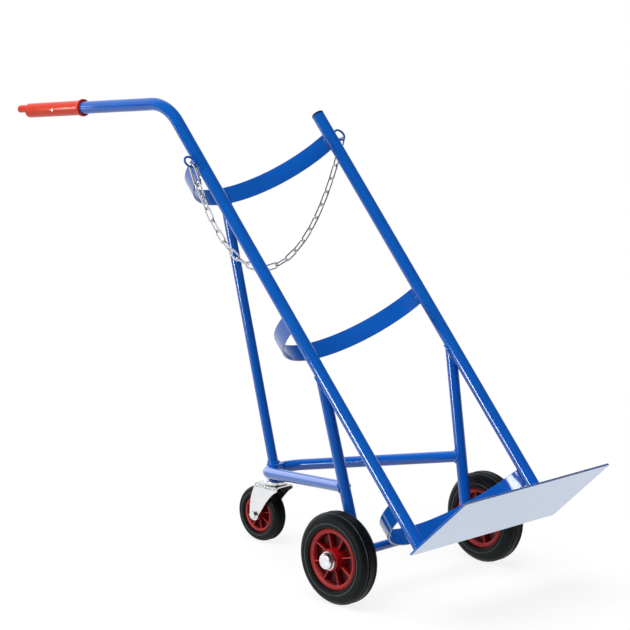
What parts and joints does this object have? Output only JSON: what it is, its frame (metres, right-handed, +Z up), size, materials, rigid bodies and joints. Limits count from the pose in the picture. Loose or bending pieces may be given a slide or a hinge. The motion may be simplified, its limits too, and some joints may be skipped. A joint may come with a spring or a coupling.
{
  "type": "gas cylinder trolley",
  "caption": "Wheeled tubular steel trolley with a sloping rail cradle, toe plate, bent-back handle, retaining chain and a swivel castor at the rear.",
  "frame": {"origin": "on the floor, under the middle of the bounding box", "axes": "+X forwards over the toe plate, +Y to the user's left, +Z up"},
  "size_m": [1.3919, 0.5448, 1.0071],
  "materials": {
    "blue_paint": "gloss",
    "zinc": "satin",
    "tyre_rubber": "matte",
    "red_plastic": "gloss",
    "black_plastic": "satin",
    "nylon": "satin"
  },
  "bodies": {
    "frame": {"toe_plate": "blue_paint", "right_rail": "blue_paint", "left_rail": "blue_paint", "left_rail_plug": "black_plastic", "lower_band": "blue_paint", "middle_band": "blue_paint", "upper_band": "blue_paint", "axle": "blue_paint", "axle_collars": "zinc", "right_leg": "blue_paint", "left_leg": "blue_paint", "castor_hoop": "blue_paint", "castor_boss": "blue_paint", "rear_prop": "blue_paint", "grip": "red_plastic", "grip_rivet": "zinc", "right_eye": "blue_paint", "left_eye": "blue_paint", "right_inner_washer": "zinc", "right_outer_washer": "zinc", "right_axle_cap": "zinc", "left_inner_washer": "zinc", "left_outer_washer": "zinc", "left_axle_cap": "zinc", "swivel_race": "zinc", "king_bolt": "zinc"},
    "right_wheel": {"right_tyre": "tyre_rubber", "right_wheel_centre": "red_plastic", "right_bearing_cage": "nylon", "right_rollers": "zinc"},
    "left_wheel": {"left_tyre": "tyre_rubber", "left_wheel_centre": "red_plastic", "left_bearing_cage": "nylon", "left_rollers": "zinc"},
    "castor": {"castor_fork": "zinc", "castor_sleeve": "zinc", "castor_bolt": "zinc", "castor_nut": "zinc", "castor_spacers": "black_plastic", "swivel_balls": "zinc"},
    "castor_wheel": {"castor_tyre": "tyre_rubber", "castor_wheel_centre": "red_plastic"},
    "chain": {"chain_links": "zinc", "snap_hook": "zinc", "gate_rivet": "zinc"},
    "gate": {"hook_gate": "zinc"}
  },
  "joints": [
    {"name": "right_wheel_spin", "type": "hinge", "parent": "frame", "child": "right_wheel", "pos_m": [0.33642, -0.228, 0.1], "axis": [0, 1, 0], "continuous": true},
    {"name": "left_wheel_spin", "type": "hinge", "parent": "frame", "child": "left_wheel", "pos_m": [0.33642, 0.228, 0.1], "axis": [0, 1, 0], "continuous": true},
    {"name": "castor_swivel", "type": "hinge", "parent": "frame", "child": "castor", "pos_m": [-0.08358, 0, 0.1375], "axis": [0, 0, 1], "continuous": true},
    {"name": "castor_wheel_spin", "type": "hinge", "parent": "castor", "child": "castor_wheel", "pos_m": [-0.12658, 0, 0.0625], "axis": [0, 1, 0], "continuous": true},
    {"name": "chain_swing", "type": "hinge", "parent": "frame", "child": "chain", "pos_m": [-0.10348, 0, 0.87864], "axis": [0, 1, 0], "range_deg": [-12, 14]},
    {"name": "gate_open", "type": "hinge", "parent": "chain", "child": "gate", "pos_m": [-0.09448, -0.21697, 0.84906], "axis": [0, -0.9341, -0.3569], "range_deg": [0, 22], "stiffness_Nm_per_rad": 0.02, "springref_deg": -11.46}
  ]
}
